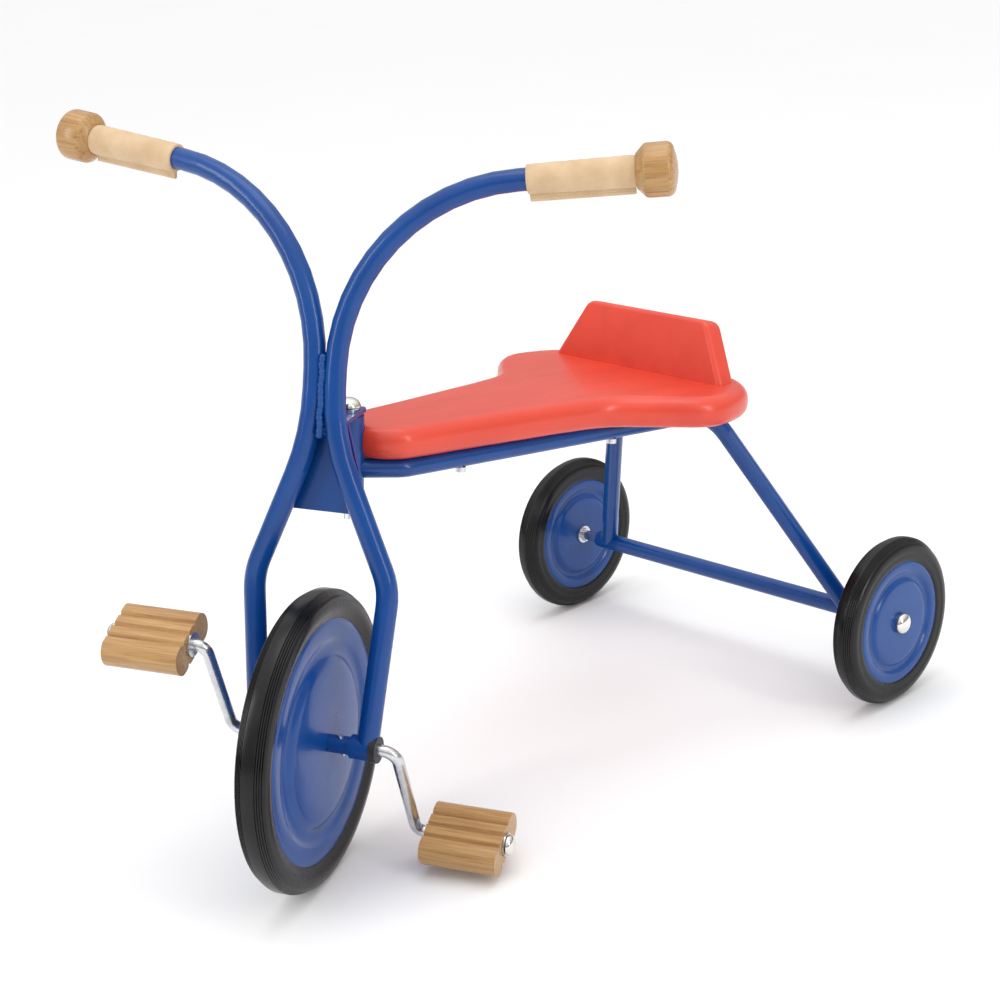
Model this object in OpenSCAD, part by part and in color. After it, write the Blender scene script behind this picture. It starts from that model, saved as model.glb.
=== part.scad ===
// Child's pedal tricycle. Units are millimetres.
// +Z is up, the front faces -Y and +X is the rider's left.
// The origin is on the floor, midway along the rear axle and straight below it.

/* [Front wheel] */
// Outside diameter of the front tyre
front_wheel_d = 250; // [230:5:280]
// Width of the front tyre
front_tyre_w = 28; // [24:1:34]
// Outside diameter of the pressed front discs
front_disc_d = 203.5; // [190:0.5:210]
// Sheet thickness of all the wheel discs
disc_sheet = 1.2; // [1:0.1:2]
// How far the front disc bulges out beside the hub, from the middle of the wheel
front_bulge = 15; // [13:0.5:18]

/* [Rear wheels] */
// Outside diameter of the rear tyres
rear_wheel_d = 160; // [145:5:180]
// Width of the rear tyres
rear_tyre_w = 24; // [22:1:28]
// Outside diameter of the pressed rear discs
rear_disc_d = 117; // [105:1:122]
// Distance between the middles of the two rear wheels
rear_track = 403; // [380:1:460]

/* [Steering] */
// Backward lean of the steering axis from upright
head_angle = 7; // [3:0.5:12]
// Where the steering axis meets the floor, ahead of the rear axle
head_reach = 511.9; // [480:0.1:560]
// How far the front hub sits ahead of the steering axis
fork_rake = 71.9; // [65:0.1:76]
// Turn of the fork at rest, towards the rider's left
steer_rest = 25.8; // [0:0.1:30]

/* [Fork] */
// Outside diameter of the fork tubes
fork_tube_d = 18; // [16:0.5:19]
// Wall thickness of the fork and frame tubes
tube_wall = 1.5; // [1.2:0.1:2.5]
// Height of the straight run where both fork tubes lie together, above the hub
fork_joined_h = 251; // [245:1:262]
// Height of the upper bend above the hub
fork_bend_h = 440.6; // [420:1:460]
// Backward slope of the upper fork over its height
fork_back = 21.7; // [15:0.1:30]
// Half of the handlebar, measured to the inside of the knob bore
bar_half = 242; // [225:1:260]
// Distance of the handlebar ends behind the steering axis
bar_back = 14.5; // [0:0.5:25]
// Rise of the handlebar from its bend to its end
bar_rise = 26.4; // [15:0.1:35]
// Spread of each fork tube at the hub
fork_half = 48; // [45:1:52]

/* [Front hub] */
// Diameter of the crank axle, arms and pedal spindles
crank_rod_d = 10; // [8:0.5:11]
// Outside diameter of the front hub sleeve
front_hub_d = 15; // [14:0.5:18]
// Diameter of the short cross tubes at the feet of the fork
foot_tube_d = 20; // [18:0.5:24]
// Length of those cross tubes
foot_tube_l = 17.4; // [15:0.1:20]
// Crank arm length, from the axle to the pedal spindle
crank_arm = 99.7; // [85:0.1:105]
// Angle of the left crank arm below the level of the hub, towards the rear
crank_turn = 60.5; // [0:0.5:90]
// Distance of each crank arm from the middle of the axle
crank_half = 71.8; // [71:0.1:76]
// Sideways play taken up by the crank axle towards the left
axle_shift = 1; // [0:0.1:2]

/* [Pedals] */
// Length of a pedal block along its spindle
pedal_l = 66.5; // [60:1:80]
// Depth of a pedal block from front to back
pedal_w = 60; // [50:1:65]
// Thickness of a pedal block
pedal_t = 25; // [22:1:32]
// Depth of the grooves cut in the tread
pedal_groove = 2.5; // [1:0.25:4]
// Tilt of the left pedal
pedal_tilt_left = 28; // [-90:1:90]
// Tilt of the right pedal
pedal_tilt_right = 28; // [-90:1:90]

/* [Frame] */
// Outside diameter of the two frame tubes and of the rear axle tube
frame_tube_d = 16.5; // [15:0.5:18]
// Downward slope of the seat and its tubes towards the rear
frame_slope = 6.7; // [4:0.1:10]
// Height of the rear corner of the frame tubes
rear_corner_z = 281.5; // [270:0.5:300]
// Distance of the rear corner ahead of the rear axle
rear_corner_y = 80.2; // [70:0.1:95]
// Half distance between the two rear corners
rear_corner_x = 57.7; // [50:0.1:70]
// Bend radius of the rear corners, to the middle of the tube
rear_corner_r = 45; // [35:1:60]
// Half distance between the frame tubes where they meet the axle tube
rear_foot_x = 153; // [140:1:165]
// Length of the rear axle tube
rear_tube_l = 332; // [320:1:350]

/* [Seat] */
// Thickness of the seat board
seat_t = 28; // [24:1:32]
// Radius of the rounded edge round the seat board
seat_round = 12; // [6:1:13]
// Half width of the seat at its nose
seat_nose = 43.8; // [38:0.1:50]
// Half width of the seat where it starts to widen
seat_waist = 66.8; // [60:0.1:76]
// Half width of the seat at its widest
seat_wide = 132.9; // [120:0.1:145]
// Distance of the seat nose ahead of the rear axle
seat_front = 469.6; // [462:0.1:474]
// Distance of the rear edge of the seat ahead of the rear axle
seat_rear = 68; // [50:1:72]
// Width of the backrest along its foot
backrest_w = 202; // [180:1:220]
// Height of the backrest
backrest_h = 51; // [40:1:70]
// Thickness of the backrest
backrest_t = 22; // [18:1:28]
// Backward lean of the backrest from square to the seat
backrest_lean = 12; // [0:0.5:20]
// Distance of the front foot of the backrest ahead of the rear axle
backrest_foot = 116.2; // [110:0.1:130]

/* [Grips] */
// Diameter of a grip at its inner end
grip_d_in = 23; // [22.5:0.5:26]
// Diameter of a grip beside the knob
grip_d_out = 25; // [23:0.5:28]
// Length of a grip along the bar
grip_l = 84; // [70:1:95]
// Diameter of a wooden knob
knob_d = 42; // [34:1:48]
// Length of a wooden knob
knob_l = 32; // [28:1:40]

/* [Hidden] */
$fn = 64;

// Running gap round every turning pin, measured on the radius
running_gap = 0.05;
// Gap beside the faces of turning pieces
side_gap = 0.3;

// Steering: the wheel leans a little when the fork is turned, so its lowest point is a tread edge
steer_lean = asin(sin(steer_rest) * sin(head_angle));
front_axle_z = front_wheel_d / 2 * cos(steer_lean) + 8 * sin(steer_lean);
fork_t = (front_axle_z - fork_rake * cos(steer_rest) * sin(head_angle)) / cos(head_angle);

// Bracket and head tube, measured up the steering axis from the level of the hub
plate_t = 3.5;
bracket_low = 186;
bracket_high = 261.5;
web_lean = 1.5;
web_y = -42.6;
head_tube_d = 26;
head_bore = 21;
bush_flange = 1.2;
bolt_d = 10;
head_low = bracket_low + plate_t + side_gap + bush_flange;
head_high = bracket_high - plate_t - side_gap - bush_flange;

// Fork tube bends, as [sideways, back, up] from the hub level on the steering axis
fork_gap = 0.1;
fork_join_x = fork_tube_d / 2 + fork_gap / 2;
fork_join_y = 53.5;
fork_path = [
  [fork_half, -fork_rake, 0],
  [fork_half + 11, -55.5, 131],
  [fork_join_x, -fork_join_y, fork_joined_h],
  [fork_join_x, -fork_join_y + fork_back, fork_bend_h],
  [bar_half, bar_back, fork_bend_h + bar_rise]];
fork_bends = [0, 60, 180, 157, 0];

// Front hub stack along the axle
foot_in = fork_half - foot_tube_l / 2 - 4.5;
foot_out = foot_in + foot_tube_l;
foot_flange = 5.8;
foot_flange_d = 22;
bush_d = 14;
spindle_end = 152;
cap_h = 6.5;
washer_t = 1.5;
pedal_mid = spindle_end - washer_t - side_gap - pedal_l / 2;

// Frame tubes
function on_slope(y) = rear_corner_z + (-rear_corner_y - y) * tan(frame_slope);
rear_axle_z = rear_wheel_d / 2;
neck_y = -436;
neck_x = 28;
main_path = [
  [6, -463, on_slope(-463)],
  [neck_x, neck_y, on_slope(neck_y)],
  [rear_corner_x, -rear_corner_y, rear_corner_z],
  [rear_foot_x, 0, rear_axle_z]];
main_bends = [0, 22, rear_corner_r, 0];
function main_x(y) = neck_x + (rear_corner_x - neck_x) * (y - neck_y) / (-rear_corner_y - neck_y);

// Seat screws, in the sloping plane of the frame tubes
screw_d = 5;
screw_ys = [-376, -204];
insert_d = 8;
insert_l = 12;
function along(y) = (y + rear_corner_y) / cos(frame_slope);

// Seat outline on the rider's left, from nose to rear, in the seat plane
v0 = -(seat_front - rear_corner_y) / cos(frame_slope);
v9 = (rear_corner_y - seat_rear) / cos(frame_slope);
rear_round = 80;
seat_ctrl = [
  [0, v0],
  [seat_nose * 0.5, v0 + seat_nose * 0.134],
  [seat_nose * 0.866, v0 + seat_nose * 0.5],
  [seat_nose, v0 + seat_nose],
  [seat_nose + 5.9, v0 + 95],
  [seat_nose + (seat_waist - seat_nose) * 0.6, v0 + 155],
  [seat_waist - 3, v0 + 200],
  [seat_waist + 7, v0 + 239.5],
  [seat_waist + (seat_wide - seat_waist) * 0.55, v0 + 273.8],
  [seat_wide - 7, v0 + 298.9],
  [seat_wide, v9 - rear_round],
  [seat_wide - rear_round * 0.134, v9 - rear_round * 0.5],
  [seat_wide - rear_round * 0.5, v9 - rear_round * 0.134],
  [seat_wide - rear_round, v9],
  [0, v9]];

foot_v = (rear_corner_y - backrest_foot) / cos(frame_slope) - (frame_tube_d / 2 + seat_t) * tan(frame_slope);

// Rear wheel stack
wheel_x = rear_track / 2;
rear_bulge = 11.5;
hub_half = 11.5;
rear_hub_d = 16;
rear_bush_d = 13;
axle_d = frame_tube_d - 2 * 3.25;
rear_end = wheel_x + hub_half + side_gap + washer_t;

// Small shapes
function unit(v) = v / norm(v);
function turn(a, b) = acos(min(1, a * b));

module on_head() {
  translate([0, -head_reach + fork_t * sin(head_angle), fork_t * cos(head_angle)])
    rotate([-head_angle, 0, 0])
      children();
}

module on_fork() {
  on_head() rotate([0, 0, steer_rest]) children();
}

module on_front_axle() {
  on_fork() translate([0, -fork_rake, 0]) rotate([0, 90, 0]) children();
}

module on_frame() {
  translate([0, -rear_corner_y, rear_corner_z]) rotate([-frame_slope, 0, 0]) children();
}

module on_rear_axle(side) {
  translate([side * wheel_x, 0, rear_axle_z]) rotate([0, side * 90, 0]) children();
}

module flip(side) {
  if (side > 0) children();
  else mirror([1, 0, 0]) children();
}

module tube(d, bore, h) {
  linear_extrude(h) difference() {
    circle(d = d);
    circle(d = bore);
  }
}

module facing(p, d, n) {
  x = unit(n - (n * d) * d);
  y = cross(d, x);
  multmatrix([
    [x[0], y[0], d[0], p[0]],
    [x[1], y[1], d[1], p[1]],
    [x[2], y[2], d[2], p[2]],
    [0, 0, 0, 1]])
    children();
}

function dirs(p) = [for (i = [0:len(p) - 2]) unit(p[i + 1] - p[i])];
function tangents(p, r) = [for (i = [0:len(p) - 1])
  (i == 0 || i == len(p) - 1) ? 0 : r[i] * tan(turn(unit(p[i] - p[i - 1]), unit(p[i + 1] - p[i])) / 2)];

// Bent bar through the points p with bend radii r, drawn leg by leg from its first end
module bent(p, r, d) {
  u = dirs(p);
  facing(p[0], u[0], u[1]) leg(p, u, tangents(p, r), r, d, 0);
}

function across(n, d) = unit(n - (n * d) * d);
function roll(u, i) = let (
  a = across(-u[i], u[i + 1]),
  b = across(u[i + 2], u[i + 1])) atan2(cross(a, b) * u[i + 1], a * b);

module leg(p, u, t, r, d, i) {
  l = norm(p[i + 1] - p[i]) - t[i] - t[i + 1];
  cylinder(d = d, h = l);
  if (i < len(u) - 1) {
    b = turn(u[i], u[i + 1]);
    translate([r[i + 1], 0, l]) {
      rotate([90, 0, 0]) rotate([0, 0, 180]) rotate_extrude(angle = -b) translate([r[i + 1], 0]) circle(d = d);
      rotate([0, b, 0]) translate([-r[i + 1], 0, 0]) rotate([0, 0, i < len(u) - 2 ? roll(u, i) : 0])
        leg(p, u, t, r, d, i + 1);
    }
  }
}

// Places along a bent tube, as [point, direction]: its two ends and small steps round every bend
function bend_steps(p, u, t, r, i) = let (
  b = turn(u[i - 1], u[i]),
  n = across(u[i], u[i - 1]),
  m = ceil(b / 7),
  c = p[i] - t[i] * u[i - 1] + r[i] * n)
  [for (k = [0:m]) let (a = b * k / m)
    [c + r[i] * (sin(a) * u[i - 1] - cos(a) * n), cos(a) * u[i - 1] + sin(a) * n]];
function places(p, r) = let (
  u = dirs(p),
  t = tangents(p, r),
  e = len(p) - 1)
  concat([[p[0], u[0]]], [for (i = [1:e - 1]) each bend_steps(p, u, t, r, i)], [[p[e], u[e - 1]]]);
function carried(s, x, k = 0) = k == len(s) ? [] : let (y = across(x, s[k][1])) concat([y], carried(s, y, k + 1));

// Bent round tube through the points p with bend radii r
module bent_tube(p, r, d, bore) {
  s = places(p, r);
  x = carried(s, dirs(p)[1]);
  n = 32;
  m = len(s);
  pts = [for (w = [d, bore], k = [0:m - 1], j = [0:n - 1]) let (a = 360 * (j + 0.5) / n)
    s[k][0] + w / 2 * (cos(a) * x[k] + sin(a) * cross(s[k][1], x[k]))];
  o = m * n;
  e = (m - 1) * n;
  polyhedron(pts, concat(
    [for (k = [0:m - 2], j = [0:n - 1]) let (i = (j + 1) % n) [k * n + j, k * n + n + j, k * n + n + i, k * n + i]],
    [for (k = [0:m - 2], j = [0:n - 1]) let (i = (j + 1) % n)
      [o + k * n + i, o + k * n + n + i, o + k * n + n + j, o + k * n + j]],
    [for (j = [0:n - 1]) let (i = (j + 1) % n) [j, i, o + i, o + j]],
    [for (j = [0:n - 1]) let (i = (j + 1) % n) [e + i, e + j, o + e + j, o + e + i]]), convexity = 8);
}

// A wheel disc: sheet metal turned about Z, hub at the middle, outside facing +Z
module wheel_disc(d, bore, bulge, rim) {
  r = d / 2;
  o = [
    [bore / 2, bulge], [r * 0.30, bulge], [r * 0.66, bulge - (bulge - rim) * 0.5],
    [r * 0.73, rim - 2.5], [r * 0.80, rim - 2.5], [r * 0.85, rim], [r, rim]];
  rotate_extrude() polygon(concat(o, [for (i = [len(o) - 1:-1:0]) [o[i][0], o[i][1] - disc_sheet]]));
}

// A solid rubber tyre turned about Z, its inner band gripped between two discs
module tyre(d, w, disc_d, rim) {
  r = d / 2;
  b = disc_d / 2;
  h = w / 2;
  half = [
    [b - 8, rim - disc_sheet], [b + 0.1, rim - disc_sheet], [b + 0.1, rim - 0.2],
    [b + (r - b) * 0.30, h - 0.7], [b + (r - b) * 0.50, h], [b + (r - b) * 0.70, h - 0.8],
    [r - 3.2, h - 2.8], [r - 1.2, h - 4.8], [r, h - 8]];
  rotate_extrude()
    polygon(concat(half, [for (i = [len(half) - 1:-1:0]) [half[i][0], -half[i][1]]]));
}

// Washer standing on Z = 0
module washer(d, bore, t) {
  tube(d, bore, t);
}

// Push-on domed cap with its flat side on Z = 0
module dome(d, h) {
  rotate_extrude() polygon(concat([[0, 0]], [for (a = [0:7.5:90]) [d / 2 * cos(a), 1 + (h - 1) * sin(a)]],
    [[0, h]]));
}

// ---- frame ----
module head_tube() {
  color("#1D5FA8") on_head() translate([0, 0, head_low]) tube(head_tube_d, head_bore, head_high - head_low);
}

module head_bush() {
  difference() {
    union() {
      translate([0, 0, -bush_flange]) cylinder(d = head_tube_d - 2, h = bush_flange);
      cylinder(d = head_bore, h = 14);
    }
    translate([0, 0, -bush_flange - 1]) cylinder(d = bolt_d + 2 * running_gap, h = 17);
  }
}

module head_bush_lower() {
  color("#222222") on_head() translate([0, 0, head_low]) head_bush();
}

module head_bush_upper() {
  color("#222222") on_head() translate([0, 0, head_high]) rotate([180, 0, 0]) head_bush();
}

module screw_spots(side) {
  for (y = screw_ys) on_frame() translate([side * main_x(y), along(y), 0]) children();
}

module main_tube(side) {
  color("#1D5FA8") difference() {
    flip(side) bent_tube(main_path, main_bends, frame_tube_d, frame_tube_d - 2 * tube_wall);
    on_head() translate([0, 0, head_low - 20]) cylinder(d = head_tube_d, h = head_high - head_low + 40);
    translate([-rear_tube_l / 2, 0, rear_axle_z]) rotate([0, 90, 0]) cylinder(d = frame_tube_d, h = rear_tube_l);
    screw_spots(side) translate([0, 0, -frame_tube_d]) cylinder(d = screw_d, h = 2 * frame_tube_d);
  }
}

module main_tube_left() {
  main_tube(1);
}

module main_tube_right() {
  main_tube(-1);
}

module rear_axle_tube() {
  color("#1D5FA8") translate([-rear_tube_l / 2, 0, rear_axle_z]) rotate([0, 90, 0])
    tube(frame_tube_d, axle_d, rear_tube_l);
}

module rear_axle_rod() {
  color("#B9BCC0") translate([0, 0, rear_axle_z]) rotate([0, 90, 0]) {
    translate([0, 0, -rear_end - 4]) cylinder(d = axle_d, h = 2 * rear_end + 8);
    for (s = [-1, 1])
      translate([-7, -1.5, s * (wheel_x - hub_half - side_gap - washer_t - 1.5) - 1.5]) cube([14, 3, 3]);
  }
}

module rear_axle_caps() {
  color("#C9CCD0") for (s = [-1, 1]) translate([s * rear_end, 0, rear_axle_z]) rotate([0, s * 90, 0])
    difference() {
      dome(20, cap_h);
      translate([0, 0, -1]) cylinder(d = axle_d, h = 5);
    }
}

module rear_washers() {
  color("#B9BCC0") for (s = [-1, 1]) {
    translate([s * (rear_end - washer_t), 0, rear_axle_z]) rotate([0, s * 90, 0])
      washer(18, axle_d, washer_t);
    translate([s * (wheel_x - hub_half - side_gap - washer_t), 0, rear_axle_z]) rotate([0, s * 90, 0])
      washer(18, axle_d, washer_t);
  }
}

// ---- seat ----
// A smooth curve through the outline points
function curve(p, n) = [for (i = [0:len(p) - 2], k = [0:n - 1])
  let (
    t = k / n,
    a = i == 0 ? [-p[1][0], p[1][1]] : p[i - 1],
    d = i == len(p) - 2 ? [-p[i][0], p[i][1]] : p[i + 2])
    0.5 * (2 * p[i] + (p[i + 1] - a) * t + (2 * a - 5 * p[i] + 4 * p[i + 1] - d) * t * t
    + (3 * p[i] - a - 3 * p[i + 1] + d) * t * t * t)];
function inward(p, i, s) = let (
  n = len(p),
  d = unit(p[(i + 1) % n] - p[(i + n - 1) % n])) p[i] + s * [-d[1], d[0]];

// The outline has an even number of points, the same on both sides of X = 0
module rounded_board(outline, thick, r) {
  n = len(outline);
  arc = [for (a = [0:15:90]) [r - r * sin(a), r - r * cos(a)]];
  steps = concat(arc, [for (i = [len(arc) - 1:-1:0]) [arc[i][0], thick - arc[i][1]]]);
  m = len(steps);
  pts = [for (s = steps, i = [0:n - 1]) let (q = inward(outline, i, s[0])) [q[0], q[1], s[1]]];
  faces = concat(
    [[0, 1, n - 1]], [for (i = [1:n / 2 - 1]) [i, i + 1, n - i - 1, n - i]],
    [for (j = [0:m - 2], i = [0:n - 1]) [j * n + i, (j + 1) * n + i, (j + 1) * n + (i + 1) % n, j * n + (i + 1) % n]],
    [[for (k = [n - 1, 1, 0]) (m - 1) * n + k]],
    [for (i = [1:n / 2 - 1]) [for (k = [n - i, n - i - 1, i + 1, i]) (m - 1) * n + k]]);
  polyhedron(pts, faces, convexity = 6);
}

module seat_board() {
  half = curve(seat_ctrl, 5);
  full = concat(half, [seat_ctrl[len(seat_ctrl) - 1]], [for (i = [len(half) - 1:-1:1]) [-half[i][0], half[i][1]]]);
  color("#E0452F") difference() {
    on_frame() translate([0, 0, frame_tube_d / 2]) rounded_board(full, seat_t, seat_round);
    for (s = [-1, 1]) screw_spots(s) translate([0, 0, frame_tube_d / 2 - 1]) cylinder(d = insert_d, h = insert_l + 3);
    backrest_spots() {
      backrest_screw();
      translate([0, 0, -3]) cylinder(d = 8, h = 3);
    }
    on_head() translate([0, 0, head_low]) cylinder(d = head_tube_d + 0.6, h = head_high);
  }
}

// The backrest stands on the seat board; its front foot lies along X
module on_backrest() {
  on_frame() translate([0, foot_v, frame_tube_d / 2 + seat_t]) children();
}

module backrest() {
  color("#E0452F") difference() {
    on_backrest() translate([0, backrest_t, 0]) rotate([-backrest_lean, 0, 0])
      translate([0, 0, -4]) backrest_block();
    on_frame() translate([-200, -200, -20]) cube([400, 400, 20 + frame_tube_d / 2 + seat_t]);
    backrest_spots() backrest_screw();
  }
}

module backrest_block() {
  w = backrest_w / 2;
  t = w - 24;
  r = 12;
  e = 5;
  hull() for (s = [-1, 1], y = [e - backrest_t, -e]) {
    translate([s * (w - e), y, 0]) sphere(r = e, $fn = 24);
    for (a = [0:22.5:90]) translate([s * (t - r + (r - e) * cos(a)), y, backrest_h + 4 - r + (r - e) * sin(a)])
      sphere(r = e, $fn = 24);
  }
}

module backrest_spots() {
  for (x = [-62, 0, 62]) on_backrest() translate([x, backrest_t / 2, -seat_t + 1]) children();
}

module backrest_screw() {
  cylinder(d1 = 8, d2 = 4, h = 4);
  cylinder(d = 4, h = 50);
}

module backrest_screws() {
  color("#B9BCC0") backrest_spots() backrest_screw();
}

module seat_screws() {
  color("#B9BCC0") for (s = [-1, 1]) screw_spots(s) {
    translate([0, 0, -frame_tube_d / 2 - 4]) cylinder(d = 9, h = 4);
    translate([0, 0, -frame_tube_d / 2 - 1]) cylinder(d = screw_d, h = frame_tube_d + insert_l);
  }
}

module seat_inserts() {
  color("#B9BCC0") for (s = [-1, 1]) screw_spots(s)
    translate([0, 0, frame_tube_d / 2 + 0.2]) tube(insert_d, screw_d, insert_l);
}

// ---- fork ----
module fork_tube(side) {
  color("#1D5FA8") difference() {
    on_fork() flip(side) bent_tube(fork_path, fork_bends, fork_tube_d, fork_tube_d - 2 * tube_wall);
    on_front_axle() translate([0, 0, -100]) cylinder(d = foot_tube_d, h = 200);
    on_fork() flip(side) translate([foot_in + foot_tube_l, -fork_rake, 0]) rotate([0, 90, 0])
      cylinder(d = foot_flange_d, h = foot_flange);
  }
}

module fork_tube_left() {
  fork_tube(1);
}

module fork_tube_right() {
  fork_tube(-1);
}

module foot_tube(side) {
  color("#1D5FA8") on_fork() flip(side)
    translate([foot_in, -fork_rake, 0]) rotate([0, 90, 0]) tube(foot_tube_d, bush_d, foot_tube_l);
}

module foot_tube_left() {
  foot_tube(1);
}

module foot_tube_right() {
  foot_tube(-1);
}

module axle_bush(side) {
  color("#222222") on_fork() flip(side) translate([foot_in, -fork_rake, 0]) rotate([0, 90, 0])
    difference() {
      union() {
        cylinder(d = bush_d, h = foot_tube_l + foot_flange);
        translate([0, 0, foot_tube_l]) cylinder(d = foot_flange_d, h = foot_flange);
      }
      translate([0, 0, -1]) cylinder(d = crank_rod_d + 2 * running_gap, h = foot_tube_l + foot_flange + 2);
    }
}

module axle_bush_left() {
  axle_bush(1);
}

module axle_bush_right() {
  axle_bush(-1);
}

module bracket_flange(wide, rear) {
  linear_extrude(plate_t) difference() {
    polygon([[-wide, -41], [-wide, -41.9], [wide, -41.9], [wide, -41], [11, rear - 3], [8, rear], [-8, rear],
      [-11, rear - 3]]);
    circle(d = bolt_d);
  }
}

module steering_bracket() {
  lo = bracket_low;
  hi = bracket_high;
  color("#1D5FA8") on_fork() difference() {
    union() {
      translate([0, web_y, fork_joined_h]) rotate([-web_lean, 0, 0]) translate([0, plate_t, -fork_joined_h])
        rotate([90, 0, 0]) linear_extrude(plate_t)
          polygon([[-36, lo], [36, lo], [17, hi], [-17, hi]]);
      translate([0, 0, lo]) bracket_flange(33, 14);
      translate([0, 0, hi - plate_t]) bracket_flange(16, 14);
    }
    translate([-100, -100, hi]) cube([200, 200, 20]);
    translate([-100, -100, lo - 20]) cube([200, 200, 20]);
  }
}

module steering_bolt() {
  color("#C9CCD0") on_fork() {
    translate([0, 0, bracket_high + washer_t]) dome(21, 8.5);
    translate([0, 0, bracket_low - 16]) cylinder(d = bolt_d, h = bracket_high - bracket_low + 18);
  }
}

module steering_washers() {
  color("#B9BCC0") on_fork() {
    translate([0, 0, bracket_high]) washer(19, bolt_d, washer_t);
    translate([0, 0, bracket_low - washer_t]) washer(20, bolt_d, washer_t);
  }
}

module steering_nut() {
  color("#B9BCC0") on_fork() translate([0, 0, bracket_low - washer_t - 9]) difference() {
    cylinder(d = 19.6, h = 9, $fn = 6);
    translate([0, 0, -1]) cylinder(d = bolt_d, h = 11);
  }
}

// The end of the handlebar: +Z runs outwards along the bar
module on_bar(side) {
  a = fork_path[3];
  b = fork_path[4];
  on_fork() flip(side) facing(b, unit(b - a), [0, 0, 1]) children();
}

module grip(side) {
  color("#7A4A2B") on_bar(side) translate([0, 0, -grip_l - 11]) difference() {
    cylinder(d1 = grip_d_in, d2 = grip_d_out, h = grip_l);
    translate([0, 0, -1]) cylinder(d = fork_tube_d, h = grip_l + 2);
  }
}

module grip_left() {
  grip(1);
}

module grip_right() {
  grip(-1);
}

module knob(side) {
  r = knob_d / 2;
  color("#C89A62") on_bar(side) translate([0, 0, -11]) difference() {
    rotate_extrude() polygon(concat(
      [[0, 0], [grip_d_out / 2 + 1, 0], [r - 1, 6.5], [r, 8]],
      [for (a = [0:11.25:90]) [r - 6 + 6 * cos(a), knob_l - 8.5 + 6 * sin(a)]],
      [[r * 0.45, knob_l - 0.9], [0, knob_l]]));
    translate([0, 0, -1]) cylinder(d = fork_tube_d, h = 12);
  }
}

module knob_left() {
  knob(1);
}

module knob_right() {
  knob(-1);
}

// ---- front wheel ----
rim_z = 10.7;

module front_tyre() {
  color("#242424") on_front_axle() tyre(front_wheel_d, front_tyre_w, front_disc_d, rim_z);
}

module front_disc_left() {
  color("#1D5FA8") on_front_axle() wheel_disc(front_disc_d, front_hub_d, front_bulge, rim_z);
}

module front_disc_right() {
  color("#1D5FA8") on_front_axle() mirror([0, 0, 1]) wheel_disc(front_disc_d, front_hub_d, front_bulge, rim_z);
}

sleeve_half = foot_in - side_gap;

module pin_spot() {
  translate([0, 0, 26]) rotate([0, 0, 20]) translate([-9, 0, 0]) rotate([0, 90, 0]) children();
}

module front_hub_sleeve() {
  color("#B9BCC0") on_front_axle() difference() {
    translate([0, 0, -sleeve_half]) tube(front_hub_d, crank_rod_d, 2 * sleeve_half);
    pin_spot() cylinder(d = 4, h = 22);
  }
}

module drive_pin() {
  color("#B9BCC0") on_front_axle() pin_spot() translate([0, 0, -1]) cylinder(d = 4, h = 20);
}

// The bent axle: spindle, arm, axle, arm, spindle
arm_y = crank_arm * cos(crank_turn);
arm_z = crank_arm * sin(crank_turn);
crank_path = [
  [spindle_end + 4, arm_y, -arm_z], [crank_half, arm_y, -arm_z], [crank_half, 0, 0],
  [-crank_half, 0, 0], [-crank_half, -arm_y, arm_z], [-spindle_end - 4, -arm_y, arm_z]];

module on_crank() {
  on_fork() translate([axle_shift, -fork_rake, 0]) children();
}

module crank_axle() {
  color("#B9BCC0") difference() {
    on_crank() bent(crank_path, [0, 9, 12, 12, 9, 0], crank_rod_d);
    on_front_axle() pin_spot() cylinder(d = 4, h = 22);
  }
}

module on_pedal(side, tilt) {
  on_crank() translate([0, side * arm_y, -side * arm_z]) rotate([tilt, 0, 0]) rotate([0, side * 90, 0]) children();
}

module pedal_washers() {
  color("#B9BCC0") for (s = [-1, 1]) on_pedal(s, 0) {
    translate([0, 0, spindle_end - washer_t]) washer(20, crank_rod_d, washer_t);
    translate([0, 0, pedal_mid - pedal_l / 2 - side_gap - washer_t]) washer(20, crank_rod_d, washer_t);
  }
}

module pedal_caps() {
  color("#C9CCD0") for (s = [-1, 1]) on_pedal(s, 0) translate([0, 0, spindle_end]) difference() {
    dome(18, cap_h);
    translate([0, 0, -1]) cylinder(d = crank_rod_d, h = 5);
  }
}

// Pedal section: flat treads with three V grooves, rounded front and back
module pedal_section() {
  w = pedal_w / 2;
  t = pedal_t / 2;
  r = t - 2;
  g = pedal_groove;
  difference() {
    polygon(concat(
      [for (a = [-90:10:90]) [w - r + r * cos(a), t * sin(a)]],
      [for (a = [90:10:270]) [-w + r + r * cos(a), t * sin(a)]]));
    for (s = [-1, 1], x = [-12, 0, 12])
      polygon([[x - g, s * (t + 0.1)], [x + g, s * (t + 0.1)], [x, s * (t - g)]]);
  }
}

module pedal(side, tilt) {
  color("#C89A62") on_pedal(side, tilt) translate([0, 0, pedal_mid - pedal_l / 2]) difference() {
    linear_extrude(pedal_l) rotate([0, 0, 90]) pedal_section();
    translate([0, 0, -1]) cylinder(d = crank_rod_d + 2 * running_gap, h = pedal_l + 2);
  }
}

module pedal_left() {
  pedal(1, pedal_tilt_left);
}

module pedal_right() {
  pedal(-1, pedal_tilt_right);
}

// ---- rear wheels ----
rear_rim_z = 10.9;

module rear_tyre_left() {
  color("#242424") on_rear_axle(1) tyre(rear_wheel_d, rear_tyre_w, rear_disc_d, rear_rim_z);
}

module rear_tyre_right() {
  color("#242424") on_rear_axle(-1) tyre(rear_wheel_d, rear_tyre_w, rear_disc_d, rear_rim_z);
}

module rear_disc(side, out) {
  color("#1D5FA8") on_rear_axle(side) mirror([0, 0, out ? 0 : 1])
    wheel_disc(rear_disc_d, rear_hub_d, rear_bulge, rear_rim_z);
}

module rear_disc_outer_left() {
  rear_disc(1, true);
}

module rear_disc_inner_left() {
  rear_disc(1, false);
}

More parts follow.
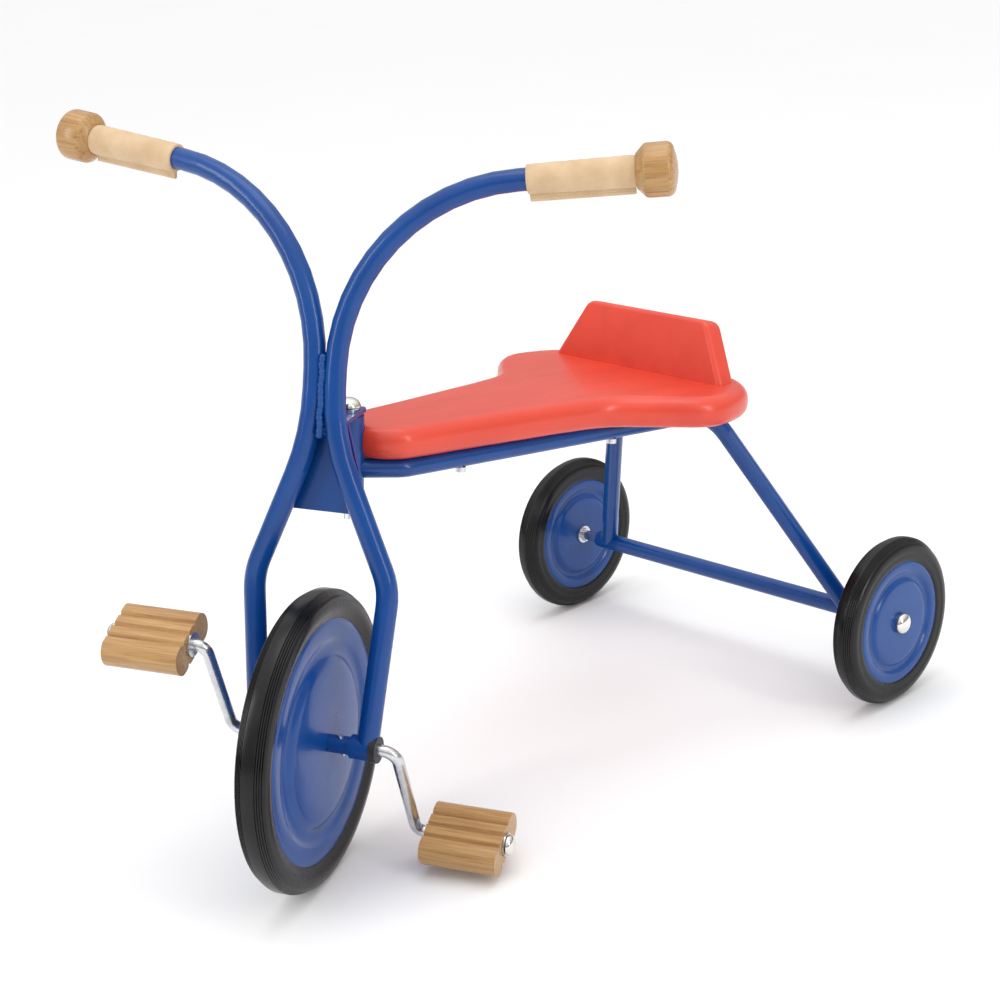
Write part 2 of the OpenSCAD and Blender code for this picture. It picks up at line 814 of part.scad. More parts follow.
module rear_disc_outer_right() {
  rear_disc(-1, true);
}

module rear_disc_inner_right() {
  rear_disc(-1, false);
}

module rear_hub_tube(side) {
  color("#B9BCC0") on_rear_axle(side) translate([0, 0, -hub_half]) tube(rear_hub_d, rear_bush_d, 2 * hub_half);
}

module rear_hub_tube_left() {
  rear_hub_tube(1);
}

module rear_hub_tube_right() {
  rear_hub_tube(-1);
}

module rear_bushes(side) {
  color("#222222") on_rear_axle(side) for (s = [-1, 1])
    translate([0, 0, s > 0 ? hub_half - 9 : -hub_half]) tube(rear_bush_d, axle_d + 2 * running_gap, 9);
}

module rear_bushes_left() {
  rear_bushes(1);
}

module rear_bushes_right() {
  rear_bushes(-1);
}

head_tube();
head_bush_lower();
head_bush_upper();
main_tube_left();
main_tube_right();
rear_axle_tube();
rear_axle_rod();
rear_axle_caps();
rear_washers();
seat_board();
backrest();
seat_screws();
seat_inserts();
backrest_screws();
fork_tube_left();
fork_tube_right();
foot_tube_left();
foot_tube_right();
axle_bush_left();
axle_bush_right();
steering_bracket();
steering_bolt();
steering_washers();
steering_nut();
grip_left();
grip_right();
knob_left();
knob_right();
front_tyre();
front_disc_left();
front_disc_right();
front_hub_sleeve();
crank_axle();
drive_pin();
pedal_washers();
pedal_caps();
pedal_left();
pedal_right();
rear_tyre_left();
rear_disc_outer_left();
rear_disc_inner_left();
rear_hub_tube_left();
rear_bushes_left();
rear_tyre_right();
rear_disc_outer_right();
rear_disc_inner_right();
rear_hub_tube_right();
rear_bushes_right();
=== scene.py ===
# A children's tricycle: bent blue tube frame, red wooden seat, solid tyres,
# direct-drive crank with wooden pedals, leather grips and turned wooden knobs.
from math import cos, pi, radians, sin

import bmesh
import bpy
from mathutils import Matrix, Vector


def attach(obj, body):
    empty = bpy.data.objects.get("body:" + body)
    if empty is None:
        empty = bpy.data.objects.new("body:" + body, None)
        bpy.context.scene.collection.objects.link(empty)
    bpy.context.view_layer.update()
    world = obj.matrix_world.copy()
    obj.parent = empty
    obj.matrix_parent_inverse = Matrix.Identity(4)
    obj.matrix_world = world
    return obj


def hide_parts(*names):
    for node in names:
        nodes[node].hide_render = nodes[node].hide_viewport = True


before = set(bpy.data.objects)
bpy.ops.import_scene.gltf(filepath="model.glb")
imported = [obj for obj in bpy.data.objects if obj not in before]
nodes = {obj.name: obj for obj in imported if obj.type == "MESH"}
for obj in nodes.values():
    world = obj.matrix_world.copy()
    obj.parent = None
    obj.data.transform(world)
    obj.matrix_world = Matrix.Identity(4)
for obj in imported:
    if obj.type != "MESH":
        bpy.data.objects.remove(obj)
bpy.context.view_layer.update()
scene = bpy.context.scene

# ---- The studio ----
# A pale floor that runs out of view under a sky that is brightest overhead, with one
# square soft light above and two tall narrow ones, and a camera ahead on the left.
turn, rise, lean = radians(46.058), radians(19.745), radians(-3.914)
away = Vector((sin(turn) * cos(rise), -cos(turn) * cos(rise), sin(rise)))
level = Vector((cos(turn), sin(turn), 0.0))
upright = away.cross(level)
across = cos(lean) * level + sin(lean) * upright
upward = cos(lean) * upright - sin(lean) * level
camera = bpy.data.objects.new("studio_camera", bpy.data.cameras.new("studio_camera"))
camera.data.sensor_width = 36.0
camera.data.lens = 78.1
camera.data.clip_end = 60.0
camera.matrix_world = (Matrix.Translation((1.2977, -1.5525, 0.8956))
                       @ Matrix((across, upward, away)).transposed().to_4x4())
scene.collection.objects.link(camera)
scene.camera = camera
scene.view_settings.view_transform = "Standard"

floor_shape = bmesh.new()
bmesh.ops.create_grid(floor_shape, x_segments=1, y_segments=1, size=20.0)
floor_mesh = bpy.data.meshes.new("studio_floor")
floor_shape.to_mesh(floor_mesh)
floor_shape.free()
floor = bpy.data.objects.new("studio_floor", floor_mesh)
scene.collection.objects.link(floor)
floor_paint = bpy.data.materials.new("pale floor")
floor_paint.use_nodes = True
paint = floor_paint.node_tree.nodes["Principled BSDF"]
paint.inputs["Roughness"].default_value = 0.9
paint.inputs["Specular IOR Level"].default_value = 0.1
speckle = floor_paint.node_tree.nodes.new("ShaderNodeTexNoise")
speckle.inputs["Scale"].default_value = 3.0
tone = floor_paint.node_tree.nodes.new("ShaderNodeMapRange")
tone.inputs["To Min"].default_value = 0.93
tone.inputs["To Max"].default_value = 0.95
where = floor_paint.node_tree.nodes.new("ShaderNodeTexCoord")
floor_paint.node_tree.links.new(where.outputs["Object"], speckle.inputs["Vector"])
floor_paint.node_tree.links.new(speckle.outputs["Fac"], tone.inputs["Value"])
floor_paint.node_tree.links.new(tone.outputs["Result"], paint.inputs["Base Color"])
floor.data.materials.append(floor_paint)

scene.world = bpy.data.worlds.new("studio_air")
scene.world.use_nodes = True
air = scene.world.node_tree.nodes["Background"]
sky = scene.world.node_tree.nodes
high = sky.new("ShaderNodeSeparateXYZ")
shade = sky.new("ShaderNodeMapRange")
shade.inputs["From Min"].default_value = 0.0
shade.inputs["From Max"].default_value = 1.0
shade.inputs["To Min"].default_value = 0.22
shade.inputs["To Max"].default_value = 1.55
scene.world.node_tree.links.new(sky.new("ShaderNodeTexCoord").outputs["Generated"], high.inputs[0])
scene.world.node_tree.links.new(high.outputs["Z"], shade.inputs["Value"])
scene.world.node_tree.links.new(shade.outputs["Result"], air.inputs["Color"])
air.inputs["Strength"].default_value = 0.92


def soft_light(name, spot, aim, width, height, watts):
    lamp = bpy.data.lights.new(name, "AREA")
    lamp.shape = "RECTANGLE"
    lamp.size, lamp.size_y, lamp.energy = width, height, watts
    stand = bpy.data.objects.new(name, lamp)
    stand.location = spot
    stand.rotation_euler = (Vector(aim) - Vector(spot)).to_track_quat("-Z", "Y").to_euler()
    scene.collection.objects.link(stand)


soft_light("overhead_light", (0.2, -0.3, 2.6), (0.0, -0.2, 0.2), 1.6, 1.6, 12.0)
soft_light("left_light", (2.4, -0.2, 1.2), (0.0, -0.2, 0.3), 0.35, 1.5, 14.0)
soft_light("front_light", (-0.7, -2.6, 1.3), (0.0, -0.3, 0.3), 0.35, 1.5, 12.0)


# ---- Steering head, main tubes and rear axle tube ----
# Mild steel tube, bent cold and welded to the head tube in front and to the rear
# axle tube behind, then powder coated blue with a glossy, very slightly rippled skin.
def new_finish(name, **sockets):
    finish = bpy.data.materials.new(name)
    finish.use_nodes = True
    shader = finish.node_tree.nodes["Principled BSDF"]
    for socket, value in sockets.items():
        shader.inputs[socket.replace("_", " ")].default_value = value
    return finish


def add(finish, kind, inputs=(), **settings):
    node = finish.node_tree.nodes.new("ShaderNode" + kind)
    for name, value in settings.items():
        setattr(node, name, value)
    for socket, value in dict(inputs).items():
        if isinstance(value, bpy.types.NodeSocket):
            finish.node_tree.links.new(value, node.inputs[socket])
        else:
            node.inputs[socket].default_value = value
    return node


def wire(finish, source, socket):
    finish.node_tree.links.new(source, finish.node_tree.nodes["Principled BSDF"].inputs[socket])


def ramp(finish, source, *stops):
    node = add(finish, "ValToRGB", {"Fac": source})
    while len(node.color_ramp.elements) < len(stops):
        node.color_ramp.elements.new(0.5)
    for element, (place, colour) in zip(node.color_ramp.elements, stops):
        element.position, element.color = place, (*colour, 1.0)
    return node.outputs["Color"]


def grain_space(finish, turned=(0, 0, 0), stretch=(1, 1, 1)):
    point = add(finish, "TexCoord")
    return add(finish, "Mapping", {"Vector": point.outputs["Object"], "Rotation": turned,
                                   "Scale": tuple(1 / share for share in stretch)},
               vector_type="TEXTURE").outputs["Vector"]


def dimple(finish, height, depth, strength, before=None):
    bump = add(finish, "Bump", {"Height": height, "Distance": depth, "Strength": strength})
    if before:
        finish.node_tree.links.new(before, bump.inputs["Normal"])
    return bump.outputs["Normal"]


powder_coat = new_finish("blue powder coat", Coat_Weight=0.25, Coat_Roughness=0.05,
                         Specular_IOR_Level=0.32)
place = grain_space(powder_coat)
cloud = add(powder_coat, "TexNoise", {"Vector": place, "Scale": 22.0, "Detail": 3.0})
wire(powder_coat, ramp(powder_coat, cloud.outputs["Fac"], (0.3, (0.0008, 0.046, 0.225)),
                       (0.7, (0.0012, 0.060, 0.270))), "Base Color")
rub = add(powder_coat, "TexNoise", {"Vector": place, "Scale": 60.0, "Detail": 4.0})
wire(powder_coat, add(powder_coat, "MapRange", {"Value": rub.outputs["Fac"], "To Min": 0.24,
                                                "To Max": 0.36}).outputs["Result"], "Roughness")
peel = add(powder_coat, "TexNoise", {"Vector": place, "Scale": 520.0, "Detail": 1.0})
wire(powder_coat, dimple(powder_coat, peel.outputs["Fac"], 0.0002, 0.22), "Normal")


def smoothed(node, finish, body, sharp=32):
    """A welded copy of a part with its round faces shaded round."""
    shape = bmesh.new()
    shape.from_mesh(nodes[node].data)
    bmesh.ops.remove_doubles(shape, verts=shape.verts, dist=2e-6)
    for face in shape.faces:
        face.smooth = True
    for edge in shape.edges:
        edge.smooth = edge.calc_face_angle(0.0) < radians(sharp)
    return set_down(shape, node + "_made", finish, body, node)


def set_down(shape, name, finish, body, *stands_for):
    mesh = bpy.data.meshes.new(name)
    shape.to_mesh(mesh)
    shape.free()
    piece = bpy.data.objects.new(name, mesh)
    scene.collection.objects.link(piece)
    piece.data.materials.append(finish)
    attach(piece, body)
    if stands_for:
        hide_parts(*stands_for)
    return piece


for node in ("head_tube", "main_tube_left", "main_tube_right", "rear_axle_tube"):
    smoothed(node, powder_coat, "frame")


# ---- Weld beads on the frame ----
# A run of small overlapping ripples round each main tube where it meets the rear
# axle tube, left as welded and painted over.
def bead(points, size, name, body, finish=powder_coat):
    shape = bmesh.new()
    length = 0.0
    for start, end in zip(points, points[1:]):
        run = Vector(end) - Vector(start)
        heading = run.to_track_quat("Z", "Y").to_matrix().to_4x4()
        steps = max(1, round(run.length / (size * 0.62)))
        for i in range(steps):
            at = Vector(start) + run * (i / steps)
            swell = 1.0 + 0.09 * sin(length * 1900.0)
            length += run.length / steps
            bmesh.ops.create_icosphere(shape, subdivisions=2, radius=size * swell,
                                       matrix=Matrix.Translation(at) @ heading
                                       @ Matrix.Diagonal((1.0, 1.0, 0.8, 1.0)))
    for face in shape.faces:
        face.smooth = True
    piece = set_down(shape, name, finish, body)
    return piece


tube_foot = 0.153
axle_height = 0.08
weld_round = 0.0084
for side, word in ((1, "left"), (-1, "right")):
    ring = []
    for i in range(25):
        a = 2 * pi * i / 24
        x, y = weld_round * cos(a), weld_round * sin(a)
        rise_over_tube = max(0.0, weld_round ** 2 - y * y) ** 0.5
        ring.append((side * (tube_foot + x), y, axle_height + rise_over_tube + 0.0006))
    bead(ring, 0.0014, "axle_weld_" + word, "frame")

# ---- Rear axle rod, washers and caps ----
# A zinc-plated rod right through the axle tube, with a plated washer each side of
# each wheel and a bright domed cap pushed on at each end.
zinc = new_finish("zinc plate", Metallic=1.0, Specular_IOR_Level=0.5)
spangle = add(zinc, "TexNoise", {"Vector": grain_space(zinc), "Scale": 140.0, "Detail": 5.0})
wire(zinc, ramp(zinc, spangle.outputs["Fac"], (0.25, (0.56, 0.57, 0.59)), (0.75, (0.74, 0.75, 0.76))),
     "Base Color")
wire(zinc, add(zinc, "MapRange", {"Value": spangle.outputs["Fac"], "To Min": 0.16,
                                  "To Max": 0.34}).outputs["Result"], "Roughness")
drawn = add(zinc, "TexNoise", {"Vector": grain_space(zinc, stretch=(0.1, 1, 1)), "Scale": 900.0})
wire(zinc, dimple(zinc, drawn.outputs["Fac"], 0.0001, 0.12), "Normal")

nickel = new_finish("bright nickel", Metallic=1.0)
haze = add(nickel, "TexNoise", {"Vector": grain_space(nickel), "Scale": 90.0, "Detail": 6.0})
wire(nickel, ramp(nickel, haze.outputs["Fac"], (0.3, (0.76, 0.73, 0.68)), (0.7, (0.86, 0.84, 0.80))),
     "Base Color")
wire(nickel, add(nickel, "MapRange", {"Value": haze.outputs["Fac"], "To Min": 0.07,
                                      "To Max": 0.2}).outputs["Result"], "Roughness")
smoothed("rear_axle_rod", zinc, "frame")
smoothed("rear_washers", zinc, "frame")
smoothed("rear_axle_caps", nickel, "frame", 40)

# ---- Plastic bushes ----
# Black moulded nylon, pushed into the head tube, the foot tubes and the rear hubs.
nylon = new_finish("black nylon", Specular_IOR_Level=0.4)
mould = add(nylon, "TexNoise", {"Vector": grain_space(nylon), "Scale": 300.0, "Detail": 3.0})
wire(nylon, ramp(nylon, mould.outputs["Fac"], (0.3, (0.012, 0.012, 0.013)), (0.7, (0.028, 0.028, 0.03))),
     "Base Color")
wire(nylon, add(nylon, "MapRange", {"Value": mould.outputs["Fac"], "To Min": 0.35,
                                    "To Max": 0.5}).outputs["Result"], "Roughness")
wire(nylon, dimple(nylon, mould.outputs["Fac"], 0.0001, 0.2), "Normal")
for node, body in (("head_bush_lower", "frame"), ("head_bush_upper", "frame"),
                   ("axle_bush_left", "fork"), ("axle_bush_right", "fork"),
                   ("rear_bushes_left", "rear_wheel_left"), ("rear_bushes_right", "rear_wheel_right")):
    smoothed(node, nylon, body)

# ---- Seat board and backrest ----
# Solid beech, 28 mm and 22 mm thick, shaped with a large round-over on every edge and
# sprayed with opaque red lacquer. The faint grain shows through as low ripples.
lacquer = new_finish("red lacquer on beech", Coat_Weight=0.35, Coat_Roughness=0.2,
                     Specular_IOR_Level=0.4)
along = grain_space(lacquer, stretch=(1.0, 0.06, 0.7))
fibre = add(lacquer, "TexNoise", {"Vector": along, "Scale": 420.0, "Detail": 5.0, "Roughness": 0.6})
wide = add(lacquer, "TexNoise", {"Vector": grain_space(lacquer, stretch=(1, 0.2, 1)), "Scale": 26.0,
                                 "Detail": 3.0})
wire(lacquer, ramp(lacquer, wide.outputs["Fac"], (0.28, (0.66, 0.048, 0.022)),
                   (0.72, (0.78, 0.068, 0.032))), "Base Color")
wire(lacquer, add(lacquer, "MapRange", {"Value": fibre.outputs["Fac"], "To Min": 0.30,
                                        "To Max": 0.46}).outputs["Result"], "Roughness")
wire(lacquer, dimple(lacquer, fibre.outputs["Fac"], 0.0003, 0.10), "Normal")
smoothed("seat_board", lacquer, "frame", 38)
smoothed("backrest", lacquer, "frame", 38)
smoothed("seat_screws", zinc, "frame")
for node in ("seat_inserts", "backrest_screws"):
    nodes[node].data.materials.clear()
    nodes[node].data.materials.append(zinc)

# ---- Fork, steering bracket and bolt ----
# Two bent tubes run from the front axle up to the bars, held together below the
# head by a long weld in the valley between them. The plate bracket takes the
# steering bolt with its domed nickel head.
for node in ("fork_tube_left", "fork_tube_right", "foot_tube_left", "foot_tube_right",
             "steering_bracket"):
    smoothed(node, powder_coat, "fork")
smoothed("steering_bolt", nickel, "fork", 40)
smoothed("steering_nut", nickel, "fork")
smoothed("steering_washers", zinc, "fork")

fork_place = (Matrix.Translation((0.0, -0.49749, 0.117359)) @ Matrix.Rotation(radians(-7), 4, "X")
              @ Matrix.Rotation(radians(25.8), 4, "Z"))


def on_fork(x, y, z):
    return fork_place @ Vector((x, y, z))


valley = [on_fork(0.0006 * sin(i * 2.4), -0.0592 + i * 0.000915, 0.252 + i * 0.008) for i in range(9)]
bead(valley, 0.0031, "fork_weld_front", "fork")
bead([on_fork(0.0, -0.0478 + i * 0.000915, 0.252 + i * 0.008) for i in range(9)], 0.0031,
     "fork_weld_back", "fork")
spatter = bmesh.new()
for x, z, size in ((0.006, 0.262, 5), (-0.0065, 0.270, 4), (0.0072, 0.281, 4), (-0.0062, 0.289, 5),
                   (0.0055, 0.300, 4), (-0.0075, 0.305, 3), (0.0083, 0.268, 3), (0.0066, 0.292, 3)):
    high = -0.0535 + (z - 0.251) * 0.1144 - (0.009 ** 2 - (abs(x) - 0.00905) ** 2) ** 0.5
    bmesh.ops.create_icosphere(spatter, subdivisions=2, radius=size * 0.0001,
                               matrix=Matrix.Translation(on_fork(x, high, z)))
for face in spatter.faces:
    face.smooth = True
set_down(spatter, "weld_spatter", powder_coat, "fork")

# ---- Front tyre and rear tyres ----
# Solid black rubber with a flat tread, fine ribs moulded round each shoulder and a
# smooth sloping sidewall whose inner band is gripped between the two discs.
rubber = new_finish("black rubber", Specular_IOR_Level=0.3)
place = grain_space(rubber)
dust = add(rubber, "TexNoise", {"Vector": place, "Scale": 45.0, "Detail": 6.0, "Roughness": 0.65})
wire(rubber, ramp(rubber, dust.outputs["Fac"], (0.3, (0.004, 0.004, 0.0045)),
                  (0.8, (0.010, 0.010, 0.011))), "Base Color")
wire(rubber, add(rubber, "MapRange", {"Value": dust.outputs["Fac"], "To Min": 0.18,
                                      "To Max": 0.34}).outputs["Result"], "Roughness")
skin = add(rubber, "TexNoise", {"Vector": place, "Scale": 1400.0, "Detail": 2.0})
wire(rubber, dimple(rubber, skin.outputs["Fac"], 0.0001, 0.25), "Normal")


def turned(profile, closed, steps=144):
    """Spins a profile of (radius, height) about Z."""
    shape = bmesh.new()
    ring = [shape.verts.new((r, 0.0, h)) for r, h in profile]
    ends = list(zip(ring, ring[1:])) + ([(ring[-1], ring[0])] if closed else [])
    edges = [shape.edges.new(pair) for pair in ends]
    bmesh.ops.spin(shape, geom=ring + edges, cent=(0, 0, 0), axis=(0, 0, 1), angle=2 * pi,
                   steps=steps, use_merge=True, use_duplicate=False)
    bmesh.ops.remove_doubles(shape, verts=shape.verts, dist=1e-7)
    bmesh.ops.recalc_face_normals(shape, faces=shape.faces)
    return shape


def tyre(name, body, wide, broad, disc, rim, axle):
    r, b, h = wide / 2, disc / 2, broad / 2
    half = [(b - 0.008, rim - 0.0012), (b + 0.0001, rim - 0.0012), (b + 0.0001, rim - 0.0002),
            (b + (r - b) * 0.16, rim + 0.0012), (b + (r - b) * 0.30, h - 0.0007),
            (b + (r - b) * 0.40, h - 0.0001), (b + (r - b) * 0.50, h), (b + (r - b) * 0.58, h - 0.0002),
            (b + (r - b) * 0.70, h - 0.0008), (r - 0.0048, h - 0.0016)]
    for i in range(4):
        out, over = r - 0.0042 + i * 0.0010, h - 0.0020 - i * 0.0016
        half += [(out - 0.0003, over), (out + 0.0003, over - 0.0003), (out + 0.0004, over - 0.0009),
                 (out - 0.0002, over - 0.0012)]
    half += [(r - 0.0002, h - 0.0086), (r, h - 0.0094)]
    shape = turned(half + [(p, -q) for p, q in reversed(half)], True)
    for face in shape.faces:
        face.smooth = True
    for edge in shape.edges:
        edge.smooth = edge.calc_face_angle(0.0) < radians(40)
    shape.transform(axle)
    set_down(shape, name + "_made", rubber, body, name)


front_axle = fork_place @ Matrix.Translation((0.0, -0.0719, 0.0)) @ Matrix.Rotation(pi / 2, 4, "Y")
left_axle = Matrix.Translation((0.2015, 0.0, 0.08)) @ Matrix.Rotation(pi / 2, 4, "Y")
right_axle = Matrix.Translation((-0.2015, 0.0, 0.08)) @ Matrix.Rotation(-pi / 2, 4, "Y")
tyre("front_tyre", "front_wheel", 0.250, 0.028, 0.2035, 0.0107, front_axle)
tyre("rear_tyre_left", "rear_wheel_left", 0.160, 0.024, 0.117, 0.0109, left_axle)
tyre("rear_tyre_right", "rear_wheel_right", 0.160, 0.024, 0.117, 0.0109, right_axle)


# ---- Wheel discs and hubs ----
# Each wheel is a pair of discs pressed from 1.2 mm sheet, domed to the hub, with a
# shallow ring pressed in before the rim. The hub tube joins them, they grip the
# tyre's inner band between them, and they are painted with the frame.
def pressed_disc(name, body, wide, bore, bulge, rim, axle, flipped):
    r = wide / 2
    sheet = 0.0012
    outer = [(bore / 2, bulge), (r * 0.20, bulge), (r * 0.30, bulge - 0.0001),
             (r * 0.42, bulge - (bulge - rim) * 0.10), (r * 0.54, bulge - (bulge - rim) * 0.25),
             (r * 0.62, bulge - (bulge - rim) * 0.42), (r * 0.665, bulge - (bulge - rim) * 0.60),
             (r * 0.695, rim - 0.0008), (r * 0.715, rim - 0.0019), (r * 0.735, rim - 0.0025),
             (r * 0.765, rim - 0.0026), (r * 0.795, rim - 0.0025), (r * 0.812, rim - 0.0020),
             (r * 0.838, rim - 0.0006), (r * 0.855, rim), (r * 0.95, rim), (r - 0.0003, rim - 0.0001),
             (r, rim - 0.0004)]
    inner = [(p, q - sheet) for p, q in reversed(outer[:-1])]
    shape = turned(outer + inner, True, 128)
    for face in shape.faces:
        face.smooth = True
    for edge in shape.edges:
        edge.smooth = edge.calc_face_angle(0.0) < radians(45)
    if flipped:
        bmesh.ops.transform(shape, verts=shape.verts, matrix=Matrix.Rotation(pi, 4, "X"))
    shape.transform(axle)
    set_down(shape, name + "_made", powder_coat, body, name)


pressed_disc("front_disc_left", "front_wheel", 0.2035, 0.015, 0.015, 0.0107, front_axle, False)
pressed_disc("front_disc_right", "front_wheel", 0.2035, 0.015, 0.015, 0.0107, front_axle, True)
pressed_disc("rear_disc_outer_left", "rear_wheel_left", 0.117, 0.016, 0.0115, 0.0109, left_axle, False)
pressed_disc("rear_disc_inner_left", "rear_wheel_left", 0.117, 0.016, 0.0115, 0.0109, left_axle, True)
pressed_disc("rear_disc_outer_right", "rear_wheel_right", 0.117, 0.016, 0.0115, 0.0109, right_axle, False)
pressed_disc("rear_disc_inner_right", "rear_wheel_right", 0.117, 0.016, 0.0115, 0.0109, right_axle, True)
smoothed("rear_hub_tube_left", powder_coat, "rear_wheel_left")
smoothed("rear_hub_tube_right", powder_coat, "rear_wheel_right")
smoothed("front_hub_sleeve", powder_coat, "front_wheel")

# ---- Crank, drive pin, pedal washers and caps ----
# One plated rod bent into both crank arms and both pedal spindles. A pin through
# hub and rod turns the wheel with the pedals.
for node in ("crank_axle", "drive_pin", "pedal_washers"):
    smoothed(node, zinc, "front_wheel")
smoothed("pedal_caps", nickel, "front_wheel", 40)


# ---- Wooden pedals and bar-end knobs ----
# Turned and planed hardwood under clear lacquer: pale brown with fine darker pores
# along the grain and a few pin knots.
def clear_wood(name, along_axis):
    wood = new_finish(name, Coat_Weight=0.45, Coat_Roughness=0.18, Specular_IOR_Level=0.45)
    turned_to = Vector((1, 0, 0)).rotation_difference(along_axis.normalized()).to_euler()
    streak = grain_space(wood, tuple(turned_to), (0.03, 1.0, 1.0))
    band = grain_space(wood, tuple(turned_to), (0.045, 1.0, 1.0))
    plain = grain_space(wood, tuple(turned_to), (0.35, 1.0, 1.0))
    ring = add(wood, "TexNoise", {"Vector": band, "Scale": 330.0, "Detail": 3.0, "Distortion": 0.15})
    fibre = add(wood, "TexNoise", {"Vector": streak, "Scale": 900.0, "Detail": 4.0, "Roughness": 0.7})
    tint = ramp(wood, ring.outputs["Fac"], (0.28, (0.36, 0.185, 0.060)), (0.48, (0.46, 0.250, 0.082)),
                (0.72, (0.54, 0.310, 0.110)))
    pore = ramp(wood, fibre.outputs["Fac"], (0.34, (0.60, 0.54, 0.46)), (0.52, (1.0, 1.0, 1.0)))
    knot = add(wood, "TexVoronoi", {"Vector": plain, "Scale": 34.0, "Randomness": 1.0})
    spot = ramp(wood, knot.outputs["Distance"], (0.03, (0.40, 0.31, 0.23)), (0.08, (1.0, 1.0, 1.0)))
    grained = add(wood, "Mix", {6: tint, 7: pore, 0: 0.75}, data_type="RGBA", blend_type="MULTIPLY")
    knotted = add(wood, "Mix", {6: grained.outputs[2], 7: spot, 0: 0.8}, data_type="RGBA",
                  blend_type="MULTIPLY")
    wire(wood, knotted.outputs[2], "Base Color")
    wire(wood, add(wood, "MapRange", {"Value": fibre.outputs["Fac"], "To Min": 0.30,
                                      "To Max": 0.5}).outputs["Result"], "Roughness")
    wire(wood, dimple(wood, fibre.outputs["Fac"], 0.0003, 0.18), "Normal")
    return wood


axle_way = fork_place.to_3x3() @ Vector((1, 0, 0))
bar_ends = {side: on_fork(side * 0.242, 0.0145, 0.467) for side in (1, -1)}
bar_ways = {side: fork_place.to_3x3() @ Vector((side * 0.23295, 0.0463, 0.0264)) for side in (1, -1)}
pedal_wood = clear_wood("pedal wood", axle_way)
smoothed("pedal_left", pedal_wood, "pedal_left", 30)
smoothed("pedal_right", pedal_wood, "pedal_right", 30)
for side, word in ((1, "left"), (-1, "right")):
    knob_wood = clear_wood("knob wood " + word, bar_ways[side])
    way = bar_ways[side].normalized()
    side_way = way.cross(Vector((0, 0, 1))).normalized()
    knob_place = (Matrix.Translation(bar_ends[side])
                  @ Matrix((side_way, way.cross(side_way), way)).transposed().to_4x4())
    outside = [(0.0091, -0.0110), (0.0130, -0.0110), (0.0136, -0.0108), (0.0196, -0.0050),
               (0.0204, -0.0040), (0.0209, -0.0028)]
    outside += [(0.015 + 0.006 * cos(radians(a)), 0.0125 + 0.006 * sin(radians(a)))
                for a in range(0, 90, 9)]
    outside += [(0.0140, 0.0190), (0.0095, 0.0201), (0.0050, 0.0207), (0.0015, 0.0210),
                (0.0002, 0.0210), (0.0002, 0.0010), (0.0091, 0.0010)]
    knob = turned(outside, True, 96)
    for face in knob.faces:
        face.smooth = True
    for edge in knob.edges:
        edge.smooth = edge.calc_face_angle(0.0) < radians(60)
    knob.transform(knob_place)
    set_down(knob, "knob_" + word + "_made", knob_wood, "fork", "knob_" + word)

# ---- Leather grips ----
# A strip of undyed leather wrapped round each bar and sewn shut along a narrow flap
# underneath with pale thread. Handling leaves soft creases across it.
leather = new_finish("undyed leather", Sheen_Weight=0.12, Specular_IOR_Level=0.35)
place = grain_space(leather)
patch = add(leather, "TexNoise", {"Vector": place, "Scale": 48.0, "Detail": 5.0})
wire(leather, ramp(leather, patch.outputs["Fac"], (0.28, (0.56, 0.375, 0.205)),
                   (0.72, (0.70, 0.510, 0.320))), "Base Color")
wire(leather, add(leather, "MapRange", {"Value": patch.outputs["Fac"], "To Min": 0.5,
                                        "To Max": 0.68}).outputs["Result"], "Roughness")
pebble = add(leather, "TexVoronoi", {"Vector": place, "Scale": 750.0})
crease = add(leather, "TexNoise", {"Vector": place, "Scale": 130.0, "Detail": 4.0, "Distortion": 2.0})
low = dimple(leather, pebble.outputs["Distance"], 0.0002, 0.35)
wire(leather, dimple(leather, crease.outputs["Fac"], 0.0008, 0.4, low), "Normal")
thread = new_finish("waxed thread", Roughness=0.6)
twist = add(thread, "TexWave", {"Vector": grain_space(thread), "Scale": 900.0})
wire(thread, ramp(thread, twist.outputs["Fac"], (0.2, (0.52, 0.38, 0.22)), (0.8, (0.78, 0.64, 0.44))),
     "Base Color")

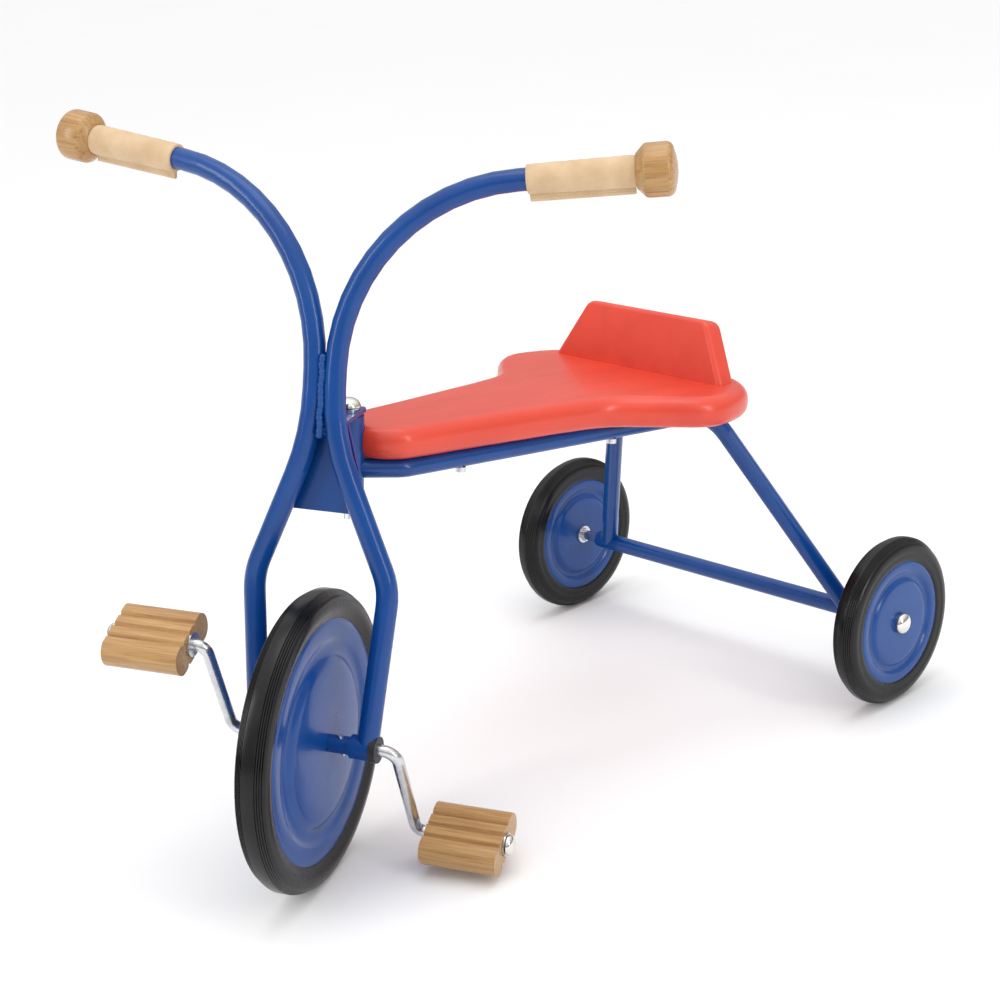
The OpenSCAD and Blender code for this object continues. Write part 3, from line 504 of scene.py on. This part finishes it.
for side, word in ((1, "left"), (-1, "right")):
    way = bar_ways[side].normalized()
    down = (Vector((0, 0, -1)) - way * way.dot(Vector((0, 0, -1)))).normalized()
    side_way = way.cross(down)
    grip_place = Matrix.Translation(bar_ends[side]) @ Matrix((side_way, down, way)).transposed().to_4x4()
    near, far = -0.095, -0.011
    sleeve = [(0.0091, near), (0.0108, near), (0.0114, near + 0.0006), (0.0116, near + 0.004)]
    for i in range(1, 20):
        along_sleeve = i / 20
        bulge = 0.0116 + 0.0009 * along_sleeve + 0.00022 * sin(i * 2.1) * sin(i * 0.7)
        sleeve.append((bulge, near + 0.004 + (far - near - 0.008) * along_sleeve))
    sleeve += [(0.0124, far - 0.002), (0.0120, far), (0.0091, far)]
    shape = turned(sleeve, True, 56)
    for face in shape.faces:
        face.smooth = True
    for edge in shape.edges:
        edge.smooth = edge.calc_face_angle(0.0) < radians(50)
    flap = bmesh.new()
    bmesh.ops.create_cube(flap, size=1.0, matrix=Matrix.Translation((0, 0.0140, (near + far) / 2))
                          @ Matrix.Diagonal((0.0030, 0.0072, far - near - 0.002, 1)))
    bmesh.ops.bevel(flap, geom=flap.edges[:], offset=0.0009, segments=3, affect="EDGES", profile=0.5,
                    material=-1, offset_type="OFFSET")
    flap_mesh = bpy.data.meshes.new("flap")
    flap.to_mesh(flap_mesh)
    flap.free()
    shape.from_mesh(flap_mesh)
    bpy.data.meshes.remove(flap_mesh)
    for face in shape.faces:
        face.smooth = True
    shape.transform(grip_place)
    set_down(shape, "grip_" + word + "_made", leather, "fork", "grip_" + word)
    stitches = bmesh.new()
    for i in range(20):
        for face_side in (1, -1):
            at = Matrix.Translation((face_side * 0.0015, 0.0152, near + 0.004 + i * 0.0040))
            bmesh.ops.create_uvsphere(stitches, u_segments=8, v_segments=8, radius=0.00045,
                                      matrix=grip_place @ at @ Matrix.Diagonal((1, 1, 3.1, 1)))
    for face in stitches.faces:
        face.smooth = True
    set_down(stitches, "grip_stitches_" + word, thread, "fork")
